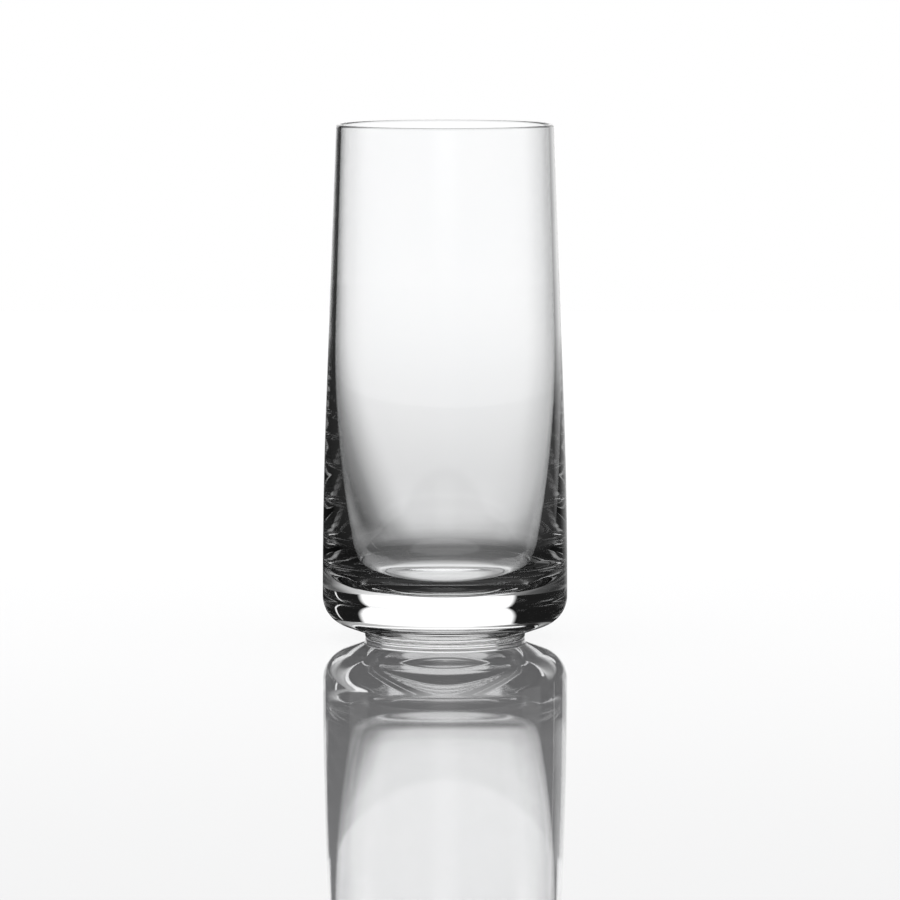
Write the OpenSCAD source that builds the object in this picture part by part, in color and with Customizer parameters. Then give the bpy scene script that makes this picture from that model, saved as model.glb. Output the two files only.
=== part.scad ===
// Highball glass with a heavy base and a short foot, blown as one piece of clear glass.
// Millimetres, +Z up. The origin is the centre of the foot's underside, on the table.
// The glass is turned about the Z axis from one closed outline of its wall and base.

/* [Overall] */
// Height from the table to the top of the rim
height = 145; // [115:1:180]
// Outer diameter at the widest point, low on the body
body_d = 69.1; // [56:0.1:80]

/* [Outer wall] */
// How far the rim is drawn in from the widest point, all round
rim_inset = 4; // [1:0.1:6]
// Height of the widest point above the table
widest_h = 13.5; // [12.5:0.5:20]
// Height at which the curved lower wall passes into the straight taper
taper_h = 67; // [40:1:90]
// Radius of the rounded corner between the wall and the underside
corner_r = 8.5; // [6:0.5:9.5]
// Rise of the underside from the foot to the corner, in degrees
under_angle = 20; // [12:1:24]

/* [Foot] */
// How far the foot is set in from the widest point, all round
foot_inset = 11.95; // [10:0.05:14]
// Height of the foot under the base
foot_h = 1.6; // [1.3:0.1:2.4]
// Rounding of the foot's lower edge
foot_edge_r = 0.6; // [0.3:0.1:1]
// Rounding in the angle between the foot and the underside
foot_fillet_r = 0.6; // [0.3:0.1:0.9]
// Width of the flat ring that the glass rests on
ring_w = 2.7; // [1:0.1:5]
// Depth of the hollow inside that ring
punt_depth = 0.4; // [0.2:0.1:1.5]

/* [Bowl] */
// Thickness of the wall at the rim
rim_wall = 1.35; // [1:0.05:2]
// Thickness of the wall where the bowl is widest
mid_wall = 2.1; // [1.5:0.05:3]
// Height at which the bowl is widest
bowl_widest_h = 77; // [60:1:95]
// Radius of the long curve of the wall through the widest point of the bowl
bowl_long_r = 300; // [240:10:600]
// Height at which the side of the bowl starts to curve inward faster
bowl_side_h = 28; // [26:1:40]
// Radius of that faster curve
bowl_side_r = 60; // [45:1:90]
// Radius between the side of the bowl and its floor
bowl_corner_r = 12; // [8:0.5:14]
// Radius of the dished floor of the bowl
bowl_floor_r = 90; // [60:5:200]
// Thickness of glass from the table to the lowest point of the bowl
base_t = 12.8; // [10:0.1:16]

/* [Hidden] */
$fn = 128;

// Steps along a long gentle curve, a round corner and a small rounding
curve_steps = 12;
corner_steps = 14;
edge_steps = 8;

body_r = body_d / 2;
rim_r = body_r - rim_inset;
foot_r = body_r - foot_inset;
lip_r = rim_wall / 2;

// A point at this distance from a centre, at this angle
function polar(centre, r, a) = centre + r * [cos(a), sin(a)];

// Points of an arc from angle a0 to angle a1, both ends included
function arc(centre, r, a0, a1, steps) =
    [for (i = [0:steps]) polar(centre, r, a0 + (a1 - a0) * i / steps)];

// The list without its first point, which the stretch before it already holds
function tail(points) = [for (i = [1:len(points) - 1]) points[i]];

// Angle at which a point is seen from a centre
function bearing(centre, point) = atan2(point.y - centre.y, point.x - centre.x);

// Outer wall: an arc that is upright at the widest point and runs out into a straight taper.
// The lean of the taper is the one that brings both stretches to the rim.
arc_rise = taper_h - widest_h;
straight_rise = height - lip_r - taper_h;
function lean(lo, hi, turns) =
    let (mid = (lo + hi) / 2, gain = arc_rise * tan(mid / 2) + straight_rise * tan(mid))
    turns == 0 ? mid
        : gain > rim_inset ? lean(lo, mid, turns - 1)
        : lean(mid, hi, turns - 1);
most_lean = 45;
halvings = 40;
wall_lean = lean(0, most_lean, halvings);
wall_r = arc_rise / sin(wall_lean);
wall_centre = [body_r - wall_r, widest_h];

// Outer radius of the wall at height z, above the widest point
function outer_r(z) =
    z < taper_h ? wall_centre.x + sqrt(wall_r * wall_r - (z - widest_h) * (z - widest_h))
                : rim_r + (height - lip_r - z) * tan(wall_lean);

// Underside: it rises from the foot and meets the round corner without a break
corner_x = body_r - corner_r;
under_end_x = corner_x + corner_r * sin(under_angle);
under_end_z = foot_h + (under_end_x - foot_r) * tan(under_angle);
corner_centre = [corner_x, under_end_z + corner_r * cos(under_angle)];

// Fillet between the foot's upright side and the underside, tangent to both.
// The rounding of the foot's lower edge leaves a little of the upright side below it.
fillet_centre = [foot_r + foot_fillet_r,
    foot_h + foot_fillet_r * tan(under_angle) - foot_fillet_r / cos(under_angle)];
foot_side_min = 0.1;
edge_r = min(foot_edge_r, fillet_centre.y - foot_side_min);
edge_centre = [foot_r - edge_r, edge_r];

// Hollow under the foot: a shallow dome inside the flat ring
punt_r = edge_centre.x - ring_w;
punt_dome_r = (punt_r * punt_r + punt_depth * punt_depth) / (2 * punt_depth);
punt_centre = [0, punt_depth - punt_dome_r];
punt_angle = asin(punt_r / punt_dome_r);

// Bowl, from the rim down: a straight stretch, the long curve, the faster curve of the side,
// the corner and the floor, each tangent to the next
lip_centre = [rim_r - lip_r, height - lip_r];
lip_inner = lip_centre - [lip_r, 0];
bowl_r = outer_r(bowl_widest_h) - mid_wall;
long_centre = [bowl_r - bowl_long_r, bowl_widest_h];
long_start = bearing(long_centre, lip_inner) - acos(bowl_long_r / norm(lip_inner - long_centre));
long_end = -asin((bowl_widest_h - bowl_side_h) / bowl_long_r);
side_centre = polar(long_centre, bowl_long_r - bowl_side_r, long_end);
floor_centre = [0, base_t + bowl_floor_r];
// The inner corner's centre lies inside both neighbouring arcs, at its own radius from each
side_gap = bowl_side_r - bowl_corner_r;
floor_gap = bowl_floor_r - bowl_corner_r;
span = floor_centre - side_centre;
along = (side_gap * side_gap - floor_gap * floor_gap + span * span) / (2 * norm(span));
across = sqrt(side_gap * side_gap - along * along);
turn_centre = side_centre + along * span / norm(span) + across * [span.y, -span.x] / norm(span);
side_end = bearing(side_centre, turn_centre);
floor_start = bearing(floor_centre, turn_centre);

outer_outline = concat(
    arc(punt_centre, punt_dome_r, 90, 90 - punt_angle, curve_steps),
    arc(edge_centre, edge_r, -90, 0, edge_steps),
    arc(fillet_centre, foot_fillet_r, 180, 90 + under_angle, edge_steps),
    arc(corner_centre, corner_r, under_angle - 90, 0, corner_steps),
    arc(wall_centre, wall_r, 0, wall_lean, curve_steps));

lip = arc(lip_centre, lip_r, 0, 180, edge_steps);

bowl_outline = concat(
    arc(long_centre, bowl_long_r, long_start, long_end, curve_steps),
    tail(arc(side_centre, bowl_side_r, long_end, side_end, curve_steps)),
    tail(arc(turn_centre, bowl_corner_r, side_end, floor_start, corner_steps)),
    tail(arc(floor_centre, bowl_floor_r, floor_start, -90, curve_steps)));

module tumbler() {
    color("gainsboro", 0.45)
        rotate_extrude()
            polygon(concat(outer_outline, lip, bowl_outline));
}

tumbler();
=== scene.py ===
import math

import bpy
import numpy as np
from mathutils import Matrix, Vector


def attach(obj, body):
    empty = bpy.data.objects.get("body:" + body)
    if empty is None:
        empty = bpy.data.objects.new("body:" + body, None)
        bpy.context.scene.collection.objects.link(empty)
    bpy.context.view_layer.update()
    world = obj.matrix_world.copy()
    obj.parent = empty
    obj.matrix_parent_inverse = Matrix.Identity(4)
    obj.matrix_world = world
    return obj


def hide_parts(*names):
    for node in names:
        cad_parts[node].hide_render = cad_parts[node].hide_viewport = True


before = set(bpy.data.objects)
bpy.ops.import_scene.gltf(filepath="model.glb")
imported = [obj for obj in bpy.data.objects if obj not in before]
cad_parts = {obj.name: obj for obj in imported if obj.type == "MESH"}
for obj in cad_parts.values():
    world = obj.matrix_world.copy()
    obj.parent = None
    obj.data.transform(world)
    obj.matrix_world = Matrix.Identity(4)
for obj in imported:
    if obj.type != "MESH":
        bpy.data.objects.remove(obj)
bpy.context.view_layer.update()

# Camera. It stands about 1.6 m away and a little higher than the rim, so that the rim is a thin
# ellipse while the base and the foot, further below the lens, are seen from a steeper angle.
CAMERA_AWAY = 1.6
CAMERA_LIFT = 5.6
SHOWN_SPAN = 0.25389
LOOK_AT = (0.00141, 0.0, 0.0531)
SENSOR_WIDTH = 36.0
SIGHT_END = 100.0

camera_data = bpy.data.cameras.new("still_camera")
camera_data.sensor_width = SENSOR_WIDTH
camera_data.lens = SENSOR_WIDTH * CAMERA_AWAY / SHOWN_SPAN
camera_data.clip_end = SIGHT_END
still_camera = bpy.data.objects.new("still_camera", camera_data)
bpy.context.scene.collection.objects.link(still_camera)
lift = math.radians(CAMERA_LIFT)
towards_camera = Vector((0.0, -math.cos(lift), math.sin(lift)))
still_camera.location = Vector(LOOK_AT) + towards_camera * CAMERA_AWAY
still_camera.rotation_mode = "QUATERNION"
still_camera.rotation_quaternion = (-towards_camera).to_track_quat("-Z", "Y")
bpy.context.scene.camera = still_camera

# The glass: one piece of clear glass, blown in a turning mould, with a heavy solid base and a
# short foot. The rim was cut and fire-polished, and the underside has a shallow hollow, so
# that the glass stands on a ring.
HEIGHT = 0.145
BODY_R = 0.03455
RIM_R = 0.03055
WIDEST_H = 0.0135
TAPER_H = 0.067
CORNER_R = 0.0085
UNDER_ANGLE = math.radians(20.0)
FOOT_R = 0.0226
FOOT_H = 0.0016
FOOT_FILLET_R = 0.0006
FOOT_EDGE_R = 0.0006
FOOT_SIDE_MIN = 0.0001
RING_W = 0.0027
HOLLOW_DEPTH = 0.0004
RIM_WALL = 0.00135
LIP_R = RIM_WALL / 2.0
MID_WALL = 0.0021
BOWL_WIDEST_H = 0.077
BOWL_LONG_R = 0.300
BOWL_SIDE_H = 0.028
BOWL_SIDE_R = 0.060
BOWL_CORNER_R = 0.012
BOWL_FLOOR_R = 0.090
BASE_T = 0.0128

# Steps along the outline, from the hollow up the outside, over the lip and down the bowl
HOLLOW_STEPS, RING_STEPS, EDGE_STEPS, SIDE_STEPS, FILLET_STEPS = 18, 8, 14, 3, 12
UNDER_STEPS, CORNER_STEPS, WIDEST_STEPS, WALL_STEPS, TAPER_STEPS = 14, 40, 6, 40, 48
LIP_STEPS, BOWL_TOP_STEPS, BOWL_LONG_STEPS, BOWL_SIDE_STEPS = 20, 40, 48, 44
BOWL_CORNER_STEPS, BOWL_FLOOR_STEPS = 36, 30
STEPS_AROUND = 192
# The taper's lean is sought below this many degrees, by this many halvings.
MOST_LEAN, HALVINGS = 45.0, 50


def bend(centre, radius, start, end, count):
    """Points (r, z) of an arc: centre + radius * (cos a, sin a), a running evenly from start to
    end in radians."""
    a = np.linspace(start, end, count + 1)
    return np.stack([centre[0] + radius * np.cos(a), centre[1] + radius * np.sin(a)], 1)


def straight(a, b, count):
    """Points between a and b, both left out, at a + (b - a) * (1 - cos(pi t)) / 2: close together
    at both ends, so that the smooth normals of the bends beside it stay true."""
    t = (1.0 - np.cos(np.linspace(0.0, math.pi, count + 1))) / 2.0
    return (np.asarray(a) + (np.asarray(b) - np.asarray(a)) * t[:, None])[1:-1]


def wall_lean():
    """Lean of the straight taper: the angle a with rise * tan(a / 2) + run * tan(a) equal to the
    inset of the rim, found by halving."""
    rise, run = TAPER_H - WIDEST_H, HEIGHT - LIP_R - TAPER_H
    low, high = 0.0, math.radians(MOST_LEAN)
    for _ in range(HALVINGS):
        a = (low + high) / 2.0
        if rise * math.tan(a / 2.0) + run * math.tan(a) > BODY_R - RIM_R:
            high = a
        else:
            low = a
    return a


lean = wall_lean()
wall_r = (TAPER_H - WIDEST_H) / math.sin(lean)
quarter = math.pi / 2.0


def outer_outline():
    """The outside from the axis under the foot up to the lip: the hollow's dome, the standing
    ring, the foot's edge and fillet, the rising underside, the round corner, the long arc of
    the lower wall and the straight taper. Only the ring's inner edge is a sharp one."""
    corner_x = BODY_R - CORNER_R
    under_x = corner_x + CORNER_R * math.sin(UNDER_ANGLE)
    under_z = FOOT_H + (under_x - FOOT_R) * math.tan(UNDER_ANGLE)
    corner_z = under_z + CORNER_R * math.cos(UNDER_ANGLE)
    fillet_z = FOOT_H + FOOT_FILLET_R * math.tan(UNDER_ANGLE) - FOOT_FILLET_R / math.cos(UNDER_ANGLE)
    fillet_c = (FOOT_R + FOOT_FILLET_R, fillet_z)
    edge_r = min(FOOT_EDGE_R, fillet_z - FOOT_SIDE_MIN)
    hollow_r = FOOT_R - edge_r - RING_W
    dome_r = (hollow_r ** 2 + HOLLOW_DEPTH ** 2) / (2.0 * HOLLOW_DEPTH)
    dome_turn = math.asin(hollow_r / dome_r)
    dome = bend((0.0, HOLLOW_DEPTH - dome_r), dome_r, quarter, quarter - dome_turn, HOLLOW_STEPS)
    edge = bend((FOOT_R - edge_r, edge_r), edge_r, -quarter, 0.0, EDGE_STEPS)
    fillet = bend(fillet_c, FOOT_FILLET_R, 2.0 * quarter, quarter + UNDER_ANGLE, FILLET_STEPS)
    corner = bend((corner_x, corner_z), CORNER_R, UNDER_ANGLE - quarter, 0.0, CORNER_STEPS)
    wall = bend((BODY_R - wall_r, WIDEST_H), wall_r, 0.0, lean, WALL_STEPS)
    return np.concatenate([
        dome, straight(dome[-1], edge[0], RING_STEPS),
        edge, straight(edge[-1], fillet[0], SIDE_STEPS),
        fillet, straight(fillet[-1], corner[0], UNDER_STEPS),
        corner, straight(corner[-1], wall[0], WIDEST_STEPS),
        wall, straight(wall[-1], (RIM_R, HEIGHT - LIP_R), TAPER_STEPS)])


def outer_radius(z):
    """Outer radius of the wall at height z: on the long arc below the taper, on the straight
    line above it."""
    if z < TAPER_H:
        return BODY_R - wall_r + math.sqrt(wall_r ** 2 - (z - WIDEST_H) ** 2)
    return RIM_R + (HEIGHT - LIP_R - z) * math.tan(lean)


def bowl_outline():
    """The inside from the lip down to the axis: a straight stretch, the long arc, the faster arc
    of the side, the corner and the dished floor. The corner's centre lies at the difference of
    the radii from the centres of both arcs beside it."""
    top = np.array([RIM_R - RIM_WALL, HEIGHT - LIP_R])
    widest = outer_radius(BOWL_WIDEST_H) - MID_WALL
    long_c = np.array([widest - BOWL_LONG_R, BOWL_WIDEST_H])
    reach = top - long_c
    long_start = math.atan2(reach[1], reach[0]) - math.acos(BOWL_LONG_R / math.hypot(*reach))
    long_end = -math.asin((BOWL_WIDEST_H - BOWL_SIDE_H) / BOWL_LONG_R)
    side_way = np.array([math.cos(long_end), math.sin(long_end)])
    side_c = long_c + (BOWL_LONG_R - BOWL_SIDE_R) * side_way
    floor_c = np.array([0.0, BASE_T + BOWL_FLOOR_R])
    side_gap, floor_gap = BOWL_SIDE_R - BOWL_CORNER_R, BOWL_FLOOR_R - BOWL_CORNER_R
    span = floor_c - side_c
    length = math.hypot(*span)
    along = (side_gap ** 2 - floor_gap ** 2 + length ** 2) / (2.0 * length)
    across = math.sqrt(side_gap ** 2 - along ** 2)
    turn_c = side_c + along * span / length + across * np.array([span[1], -span[0]]) / length
    side_end = math.atan2(*(turn_c - side_c)[::-1])
    floor_start = math.atan2(*(turn_c - floor_c)[::-1])
    long_part = bend(long_c, BOWL_LONG_R, long_start, long_end, BOWL_LONG_STEPS)
    return np.concatenate([
        straight(top, long_part[0], BOWL_TOP_STEPS), long_part,
        bend(side_c, BOWL_SIDE_R, long_end, side_end, BOWL_SIDE_STEPS)[1:],
        bend(turn_c, BOWL_CORNER_R, side_end, floor_start, BOWL_CORNER_STEPS)[1:],
        bend(floor_c, BOWL_FLOOR_R, floor_start, -quarter, BOWL_FLOOR_STEPS)[1:]])


def turned(outline, around):
    """Surface of revolution on a grid: x = r cos t, y = r sin t, z = z for every outline point and
    every angle t. The first and last outline points lie on the axis and are given by themselves."""
    t = np.linspace(0.0, 2.0 * math.pi, around, endpoint=False)
    r, z = outline[1:-1, 0:1], outline[1:-1, 1:2]
    grid = np.stack([r * np.cos(t), r * np.sin(t), z + 0.0 * t], -1)
    return grid, np.array([[0.0, 0.0, outline[0, 1]], [0.0, 0.0, outline[-1, 1]]])


def skin(grid, poles):
    """Points and faces of the turned grid: one quad between each two rings and angles, wound so
    that they look out of the glass, and a fan of triangles round each point on the axis."""
    rings, around = grid.shape[:2]
    index = np.arange(rings * around).reshape(rings, around)
    a, b = index[:-1], np.roll(index, -1, 1)[:-1]
    c, d = np.roll(index, -1, 1)[1:], index[1:]
    quads = np.stack([a, b, c, d], -1).reshape(-1, 4)
    low, high = rings * around, rings * around + 1
    first, last = index[0], index[-1]
    fans = np.concatenate([
        np.stack([np.full(around, low), np.roll(first, -1), first], 1),
        np.stack([np.full(around, high), last, np.roll(last, -1)], 1)])
    return np.concatenate([grid.reshape(-1, 3), poles]), quads, fans


lip = bend((RIM_R - LIP_R, HEIGHT - LIP_R), LIP_R, 0.0, math.pi, LIP_STEPS)
outline = np.concatenate([outer_outline(), lip, bowl_outline()])
points, quads, fans = skin(*turned(outline, STEPS_AROUND))
glass_mesh = bpy.data.meshes.new("tumbler_glass")
glass_mesh.from_pydata(points.tolist(), [], quads.tolist() + fans.tolist())
glass_mesh.polygons.foreach_set("use_smooth", np.ones(len(glass_mesh.polygons), bool))
glass_mesh.update()
tumbler_glass = bpy.data.objects.new("tumbler_glass", glass_mesh)
bpy.context.scene.collection.objects.link(tumbler_glass)

GLASS_IOR = 1.52
TINT_MARKS = (0.3, 0.7)
TINTS = ((0.988, 0.992, 0.996, 1.0), (0.996, 0.998, 1.0, 1.0))
SCUFF_H, SCUFF_FROM, SCUFF_TO, SCUFF_ROUGHNESS = 0.0005, 0.5, 0.75, 0.3
clear_glass = bpy.data.materials.new("clear_glass")
clear_glass.use_nodes = True
glass_tree = clear_glass.node_tree
glass_shader = glass_tree.nodes["Principled BSDF"]
glass_shader.inputs["Transmission Weight"].default_value = 1.0
glass_shader.inputs["IOR"].default_value = GLASS_IOR


def wire(tree, kind, settings=(), **feeds):
    """Adds one node to a tree. Settings are its own choices. Each feed is a number for a socket
    or the socket that it is fed from, under the socket's name with _ for a space, or under _ and
    the socket's place in the list."""
    node = tree.nodes.new(kind)
    for name, choice in dict(settings).items():
        setattr(node, name, choice)
    for name, feed in feeds.items():
        key = int(name[1:]) if name[1:].isdigit() else name.replace("_", " ")
        if isinstance(feed, bpy.types.NodeSocket):
            tree.links.new(feed, node.inputs[key])
        else:
            node.inputs[key].default_value = feed
    return node


def math_node(tree, operation, a, b=0.0):
    """One Math node on two numbers or sockets."""
    return wire(tree, "ShaderNodeMath", {"operation": operation}, _0=a, _1=b).outputs[0]


def slope(tree, value, low, high, first, last, kind="SMOOTHSTEP"):
    """A step from first to last while the value runs from low to high, smooth unless its kind is
    LINEAR, and level before and after."""
    return wire(tree, "ShaderNodeMapRange", {"interpolation_type": kind}, Value=value,
                From_Min=low, From_Max=high, To_Min=first, To_Max=last).outputs["Result"]


on_glass = wire(glass_tree, "ShaderNodeTexCoord").outputs["Object"]
glass_place = wire(glass_tree, "ShaderNodeSeparateXYZ", Vector=on_glass).outputs

# The glass has a cool tint, hardly to be seen, which is a little uneven.
streaks = wire(glass_tree, "ShaderNodeTexNoise", Vector=on_glass,
               Scale=35.0, Detail=2.0, Roughness=0.5).outputs["Fac"]
pale_tint = wire(glass_tree, "ShaderNodeValToRGB", Fac=streaks)
for mark, at, tint in zip(pale_tint.color_ramp.elements, TINT_MARKS, TINTS):
    mark.position = at
    mark.color = tint
glass_tree.links.new(pale_tint.outputs["Color"], glass_shader.inputs["Base Color"])

# Where it stands and is slid about, the ring under the foot is scuffed a little.
near_table = slope(glass_tree, glass_place[2], 0.0, SCUFF_H, 1.0, 0.0, "LINEAR")
scuffs = wire(glass_tree, "ShaderNodeTexNoise", Vector=on_glass,
              Scale=900.0, Detail=3.0, Roughness=0.6).outputs["Fac"]
scuff_share = slope(glass_tree, scuffs, SCUFF_FROM, SCUFF_TO, 0.0, SCUFF_ROUGHNESS, "LINEAR")
glass_tree.links.new(math_node(glass_tree, "MULTIPLY", near_table, scuff_share),
                     glass_shader.inputs["Roughness"])

# The mould leaves a faint slow wave in the skin of the glass.
slow_wave = wire(glass_tree, "ShaderNodeTexNoise", Vector=on_glass,
                 Scale=70.0, Detail=1.0, Roughness=0.4).outputs["Fac"]
skin_wave = wire(glass_tree, "ShaderNodeBump", Strength=0.03, Distance=0.0002, Height=slow_wave)
glass_tree.links.new(skin_wave.outputs["Normal"], glass_shader.inputs["Normal"])
glass_mesh.materials.append(clear_glass)

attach(tumbler_glass, "root")
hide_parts("tumbler")

# The table: a wide sheet of pale polished acrylic with a straight front edge. It mirrors the glass
# at the camera's low angle, and from higher up it is a plain pale surface. Seen through the glass it
# glows with painted light and shade: a painted shadow round the foot, painted shade at the sides
# and painted light behind, a little more so past a slanted line.
TABLE_FRONT, TABLE_BACK, TABLE_SIDE = -0.909, 1.25, 1.5
CELLS_ACROSS, CELLS_DEEP = 12, 9
# A slanted line on the table, past which it is painted a little brighter through the glass, and that
# painted light.
PAINTED_STEP_LINE, PAINTED_STEP_SLANT, PAINTED_STEP_LIGHT = 0.375, 0.14, 0.03
BACKDROP_LIGHT = 1.07
across, deep = np.meshgrid(np.linspace(-TABLE_SIDE, TABLE_SIDE, CELLS_ACROSS + 1),
                           np.linspace(TABLE_FRONT, TABLE_BACK, CELLS_DEEP + 1))
table_points = np.stack([across, deep, 0.0 * across], -1).reshape(-1, 3)
cell = np.arange(across.size).reshape(across.shape)
table_quads = np.stack([cell[:-1, :-1], cell[:-1, 1:], cell[1:, 1:], cell[1:, :-1]], -1).reshape(-1, 4)
table_mesh = bpy.data.meshes.new("table_sheet")
table_mesh.from_pydata(table_points.tolist(), [], table_quads.tolist())
table_sheet = bpy.data.objects.new("table_sheet", table_mesh)
bpy.context.scene.collection.objects.link(table_sheet)

# Marks for the counts of steps that a ray has taken: a count above ONCE is one or more.
# A ray through the solid base crosses two skins of the glass, one through both walls four.
ONCE, TWICE, THRICE = 0.5, 1.5, 2.5
BASE_OR_WALLS = 3.0
MIRROR_STEP, TURNED_MARK = 0.5, 0.75
DEGREES = 180.0 / math.pi


def tones(tree, value, stops):
    """A ramp of grey tones: stops are pairs of a value and the tone there, with even passage
    from each to the next."""
    low, high = stops[0][0], stops[-1][0]
    share = slope(tree, value, low, high, 0.0, 1.0, "LINEAR")
    ramp = wire(tree, "ShaderNodeValToRGB", Fac=share)
    marks = ramp.color_ramp.elements
    while len(marks) < len(stops):
        marks.new(0.5)
    for mark, (at, tone) in zip(marks, stops):
        mark.position = (at - low) / (high - low)
        mark.color = (tone, tone, tone, 1.0)
    return ramp.outputs["Color"]


def mix(tree, share, a, b):
    """One Mix node between two numbers or sockets: a at share 0, b at share 1."""
    return wire(tree, "ShaderNodeMix", {"data_type": "FLOAT"}, _0=share, _2=a, _3=b).outputs[0]


def room_light_and_painted_shade(tree, path, x, y, close=0.0):
    """Brightness of the white surroundings towards a bearing, which is atan2(x, y) in degrees: full
    straight behind the glass, falling off to the right, with a black card at the left. What is
    turned inside the wall sees more of the card than what passes through, and the solid base
    shows less of both sides. On what passes through, close is the share that no card dims. In the
    world this is light; on the table seen through the glass it is painted light and painted shade."""
    bearing = math_node(tree, "MULTIPLY", math_node(tree, "ARCTAN2", x, y), DEGREES)
    passed = tones(tree, bearing, (
        (-180, 0.9), (-78, 0.9), (-58, 0.2), (-30, 0.12), (-20, 0.35), (-9, 1.0),
        (8, 1.0), (24, 0.85), (36, 0.6), (58, 0.45), (78, 0.9), (180, 0.9)))
    turned_in = tones(tree, bearing, (
        (-180, 0.06), (-100, 0.04), (-18, 0.02), (-6, 1.0), (6, 1.0),
        (16, 0.7), (32, 0.36), (44, 0.06), (180, 0.06)))
    # The solid base squeezes the view sideways, so it shows only what the backdrop lights.
    base_view = tones(tree, bearing, (
        (-180, 0.25), (-45, 0.25), (-27, 1.0), (33, 1.0), (46, 0.3), (180, 0.3)))
    base_only = math_node(tree, "LESS_THAN", path["Transmission Depth"], BASE_OR_WALLS)
    passed = math_node(tree, "MULTIPLY", passed, mix(tree, base_only, 1.0, base_view))
    # The table's own mirror is one glossy step, after which the light passes both walls.
    both_walls = math_node(tree, "GREATER_THAN", path["Transmission Depth"], BASE_OR_WALLS)
    own_steps = math_node(tree, "SUBTRACT", path["Glossy Depth"],
                          math_node(tree, "MULTIPLY", both_walls, MIRROR_STEP))
    was_turned = math_node(tree, "GREATER_THAN", own_steps, TURNED_MARK)
    return mix(tree, was_turned, mix(tree, close, passed, 1.0), turned_in)


polished = bpy.data.materials.new("polished_acrylic")
polished.use_nodes = True
table_tree = polished.node_tree
table_shader = table_tree.nodes["Principled BSDF"]
for name, amount in (("IOR", 1.5), ("Roughness", 0.03), ("Coat Weight", 1.0), ("Coat IOR", 1.5),
                     ("Coat Roughness", 0.02)):
    table_shader.inputs[name].default_value = amount
table_path = wire(table_tree, "ShaderNodeLightPath").outputs
low_angle = wire(table_tree, "ShaderNodeLayerWeight", Blend=0.5).outputs["Facing"]

# Seen directly, the sheet's colour is painted darker along its surface than from above, a painted
# shade, and it is a trace bluish.
PALE_ANGLE, GREY_ANGLE, PALE_TONE, PAINTED_GREY_TONE = 0.60, 0.84, 0.8, 0.45
BLUE_GAIN = 1.02
grazing_painted_shade_tone = slope(table_tree, low_angle, PALE_ANGLE, GREY_ANGLE, PALE_TONE, PAINTED_GREY_TONE, "LINEAR")
table_colour = wire(table_tree, "ShaderNodeCombineColor", _0=grazing_painted_shade_tone, _1=grazing_painted_shade_tone,
                    _2=math_node(table_tree, "MULTIPLY", grazing_painted_shade_tone, BLUE_GAIN))
table_tree.links.new(table_colour.outputs[0], table_shader.inputs["Base Color"])

# Through the glass its tone is painted by the distance from the foot, in metres: a painted shadow
# round the foot, painted light under it and painted light that grows further behind. A ramp's tones
# stop at 1, so the far table has a ramp of its own, which is added.
table_place = wire(table_tree, "ShaderNodeTexCoord").outputs["Object"]
table_x, table_y, _ = wire(table_tree, "ShaderNodeSeparateXYZ", Vector=table_place).outputs
from_foot = wire(table_tree, "ShaderNodeVectorMath", {"operation": "LENGTH"},
                 Vector=table_place).outputs["Value"]
foot_painted_light_and_shade = tones(table_tree, from_foot, (
    (0.0, 0.7), (0.012, 0.7), (0.018, 0.3), (0.023, 0.35), (0.028, 0.85),
    (0.032, 0.42), (0.038, 0.18), (0.046, 0.12), (0.054, 0.14), (0.06, 0.24),
    (0.07, 0.38), (0.086, 0.53), (0.107, 0.68), (0.13, 0.735), (0.16, 0.75)))
far_painted_light = tones(table_tree, from_foot, (
    (0.0, 0.0), (0.18, 0.005), (0.224, 0.022), (0.274, 0.05), (0.335, 0.084), (0.415, 0.12),
    (0.525, 0.147), (0.685, 0.173), (0.9, 0.19), (1.06, 0.205), (1.17, 0.218), (1.25, 0.22)))
# Past the slanted line the table seen through the glass is painted a little brighter: painted light.
slanted_y = math_node(table_tree, "ADD", table_y, math_node(table_tree, "MULTIPLY", table_x, PAINTED_STEP_SLANT))
past_painted_step = math_node(table_tree, "GREATER_THAN", slanted_y, PAINTED_STEP_LINE)
painted_seen_tone = math_node(table_tree, "ADD", math_node(table_tree, "ADD", foot_painted_light_and_shade, far_painted_light),
                      math_node(table_tree, "MULTIPLY", past_painted_step, PAINTED_STEP_LIGHT))

# Looked at steeply, the table past the foot's painted shade is painted the same pale tone through the
# glass.
STEEP_ANGLE, LOW_ANGLE = 0.56, 0.66
SHADE_START, SHADE_END = 0.06, 0.16
CLOSE_START, CLOSE_END = 0.03, 0.10
STEEP_SHARE, STEEP_PAINTED_TONE = 0.8, 0.85
steep = math_node(table_tree, "MULTIPLY", slope(table_tree, low_angle, STEEP_ANGLE, LOW_ANGLE, 1.0, 0.0),
                  slope(table_tree, from_foot, SHADE_START, SHADE_END, 0.0, 1.0))
steep = math_node(table_tree, "MULTIPLY", steep,
                  math_node(table_tree, "LESS_THAN", table_path["Glossy Depth"], ONCE))
close_by = slope(table_tree, from_foot, CLOSE_START, CLOSE_END, 1.0, 0.0)
no_painted_card_shade = math_node(table_tree, "MAXIMUM", close_by, steep)
# The cards' shade and the backdrop's light are painted on the table seen through the glass, except close
# by and where steep.
painted_seen_tone = math_node(table_tree, "MULTIPLY", painted_seen_tone,
                      room_light_and_painted_shade(table_tree, table_path, table_x, table_y, no_painted_card_shade))
painted_seen_tone = mix(table_tree, math_node(table_tree, "MULTIPLY", steep, STEEP_SHARE), painted_seen_tone, STEEP_PAINTED_TONE)
# Through the glass the table glows with this painted light and shade, though it is no lamp.
painted_glow = wire(table_tree, "ShaderNodeEmission", Color=(1.0, 1.0, 1.0, 1.0),
                  Strength=math_node(table_tree, "MULTIPLY", painted_seen_tone, BACKDROP_LIGHT))

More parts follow.
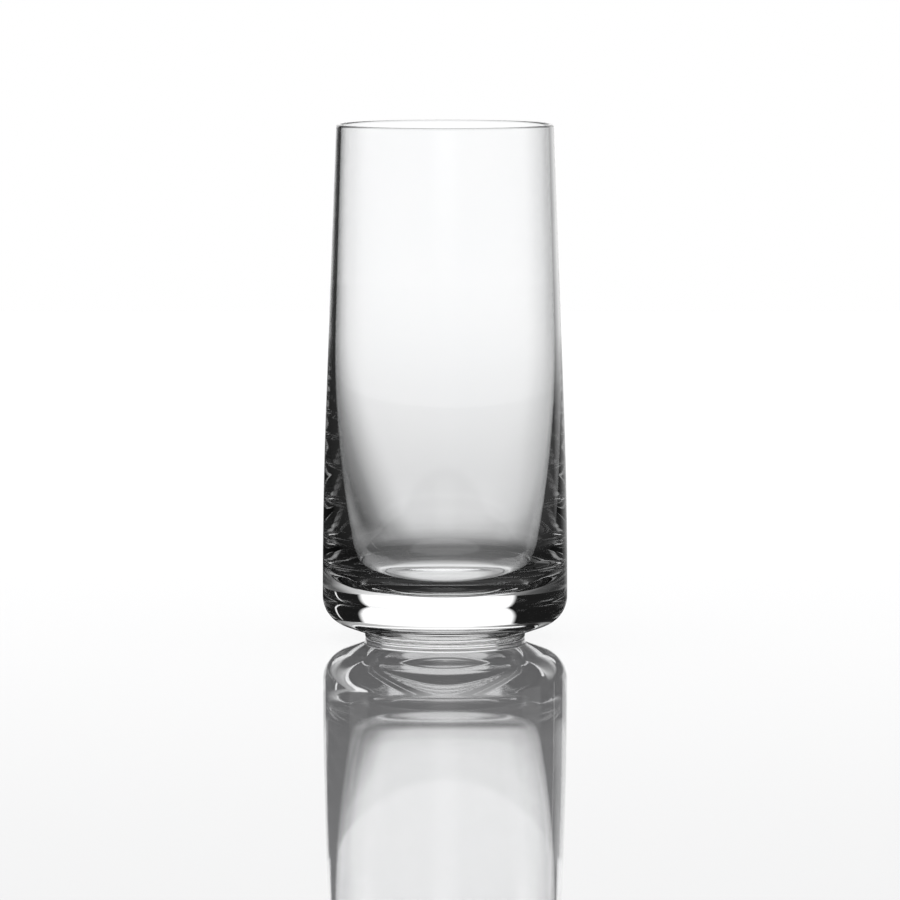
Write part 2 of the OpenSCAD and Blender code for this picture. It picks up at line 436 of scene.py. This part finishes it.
# Off the skin of the glass the table is seen as it is through the glass, glowing with the painted light
# and shade.
off_skin = math_node(table_tree, "MULTIPLY", table_path["Is Singular Ray"],
                     math_node(table_tree, "SUBTRACT", 1.0, table_path["Is Camera Ray"]))
through_glass = math_node(table_tree, "MAXIMUM", off_skin,
                          math_node(table_tree, "GREATER_THAN", table_path["Transmission Depth"], ONCE))
painted_glow_or_plain = wire(table_tree, "ShaderNodeMixShader", _0=through_glass, _1=table_shader.outputs[0],
                     _2=painted_glow.outputs[0])
table_tree.links.new(painted_glow_or_plain.outputs[0], table_tree.nodes["Material Output"].inputs["Surface"])
table_mesh.materials.append(polished)

# The studio: plain white all round for the camera and the table. The glass shows it as a bright
# backdrop straight behind that fades to the right, black cards at the sides, a soft light
# overhead, and narrow panels at the sides and behind the camera.
studio = bpy.data.worlds.new("studio")
bpy.context.scene.world = studio
studio.use_nodes = True
studio_tree = studio.node_tree
studio_tree.nodes.clear()

# SIDES are degrees of bearing, each from the direction that its panel is placed by, and ROWS are
# degrees above the horizon. Both are (start, softness, end, softness), the softness being half
# the width of the blurred edge there.
WINDOW_SIDES, WINDOW_ROWS, WINDOW_LIGHT = (-25.0, 1.5, 33.0, 2.0), (-0.2, 0.4, 32.0, 4.0), 1.2
UPPER_SIDES, UPPER_ROWS, UPPER_LIGHT = (-25.0, 2.0, 33.0, 3.0), (58.0, 2.0, 75.0, 6.0), 1.0
FLANK_SIDES, FLANK_ROWS, FLANK_LIGHT = (-12.0, 4.0, 12.0, 4.0), (1.0, 1.0, 22.0, 6.0), 0.6
REAR_SIDES, REAR_ROWS, REAR_LIGHT = (-12.0, 6.0, 12.0, 6.0), (1.0, 1.0, 22.0, 6.0), 0.5
STRIP_SIDES, STRIP_ROWS, STRIP_LIGHT = (53.0, 0.7, 55.0, 0.7), (2.0, 2.0, 22.0, 7.0), 1.2
OVERHEAD_LEAN, OVERHEAD_HALF, OVERHEAD_SOFT, OVERHEAD_LIGHT = 15.0, 34.0, 4.0, 1.15
HORIZON_LOW, HORIZON_HIGH = 0.2, 1.0
CARD_LIGHT, MIRROR_LIGHT, LOST_SHARE = 0.01, 1.18, 0.35


def sums(operation, a, b=0.0):
    """One Math node in the studio's tree."""
    return math_node(studio_tree, operation, a, b)


def between(value, low, low_soft, high, high_soft):
    """1 from low to high and 0 outside, with a soft edge at each end."""
    return sums("MULTIPLY", slope(studio_tree, value, low - low_soft, low + low_soft, 0.0, 1.0),
                slope(studio_tree, value, high - high_soft, high + high_soft, 1.0, 0.0))


look = wire(studio_tree, "ShaderNodeTexCoord").outputs["Generated"]
look_x, look_y, look_z = wire(studio_tree, "ShaderNodeSeparateXYZ", Vector=look).outputs
studio_path = wire(studio_tree, "ShaderNodeLightPath").outputs
bearing = sums("MULTIPLY", sums("ARCTAN2", look_x, look_y), DEGREES)
back_bearing = sums("MULTIPLY", sums("ARCTAN2", look_x, sums("MULTIPLY", look_y, -1.0)), DEGREES)
side_bearing = sums("MULTIPLY", sums("ARCTAN2", look_y, sums("ABSOLUTE", look_x)), DEGREES)
height_angle = sums("MULTIPLY", sums("ARCSINE", look_z), DEGREES)

lit = sums("ADD", CARD_LIGHT, sums(
    "MULTIPLY", room_light_and_painted_shade(studio_tree, studio_path, look_x, look_y),
    slope(studio_tree, height_angle, HORIZON_LOW, HORIZON_HIGH, BACKDROP_LIGHT, 0.0)))
for turn, sides, rows, light in (
        (bearing, WINDOW_SIDES, WINDOW_ROWS, WINDOW_LIGHT),
        (bearing, UPPER_SIDES, UPPER_ROWS, UPPER_LIGHT),
        (side_bearing, FLANK_SIDES, FLANK_ROWS, FLANK_LIGHT),
        (back_bearing, REAR_SIDES, REAR_ROWS, REAR_LIGHT),
        (bearing, STRIP_SIDES, STRIP_ROWS, STRIP_LIGHT)):
    shape = sums("MULTIPLY", between(turn, *sides), between(height_angle, *rows))
    lit = sums("MAXIMUM", lit, sums("MULTIPLY", shape, light))

# The overhead light is round, and its middle leans towards the camera.
overhead_turn = math.radians(OVERHEAD_LEAN)
overhead_cosine = sums("SUBTRACT", sums("MULTIPLY", look_z, math.cos(overhead_turn)),
                       sums("MULTIPLY", look_y, math.sin(overhead_turn)))
from_middle = sums("MULTIPLY", sums("ARCCOSINE", overhead_cosine), DEGREES)
lit = sums("MAXIMUM", lit, slope(
    studio_tree, from_middle, OVERHEAD_HALF - OVERHEAD_SOFT, OVERHEAD_HALF + OVERHEAD_SOFT,
    OVERHEAD_LIGHT, 0.0))

# What is turned inside the base again and again loses itself in the glass.
long_way = sums("GREATER_THAN", studio_path["Glossy Depth"], THRICE)
lit = sums("MULTIPLY", lit, sums("SUBTRACT", 1.0, sums("MULTIPLY", long_way, LOST_SHARE)))

# Only rays by way of the glass find the lit parts. All others find plain white.
in_glass = sums("GREATER_THAN", studio_path["Transmission Depth"], ONCE)
off_glass = sums("MAXIMUM", studio_path["Is Singular Ray"],
                 sums("GREATER_THAN", studio_path["Glossy Depth"], TWICE))
off_glass = sums("MULTIPLY", off_glass, sums("SUBTRACT", 1.0, studio_path["Is Camera Ray"]))
by_glass = sums("MULTIPLY", sums("MAXIMUM", in_glass, off_glass),
                sums("LESS_THAN", studio_path["Diffuse Depth"], ONCE))
plain = sums("ADD", 1.0, sums("MULTIPLY", studio_path["Is Glossy Ray"], MIRROR_LIGHT - 1.0))
shown = sums("ADD", sums("MULTIPLY", lit, by_glass),
             sums("MULTIPLY", plain, sums("SUBTRACT", 1.0, by_glass)))
white_light = wire(studio_tree, "ShaderNodeBackground", Color=(1.0, 1.0, 1.0, 1.0), Strength=shown)
wire(studio_tree, "ShaderNodeOutputWorld", Surface=white_light.outputs[0])

# Light has to pass the glass many times before it is lost.
BOUNCES = 24
cycles = bpy.context.scene.cycles
cycles.max_bounces = BOUNCES
cycles.transmission_bounces = BOUNCES
cycles.glossy_bounces = BOUNCES
cycles.use_denoising = True
bpy.context.scene.view_settings.view_transform = "Standard"
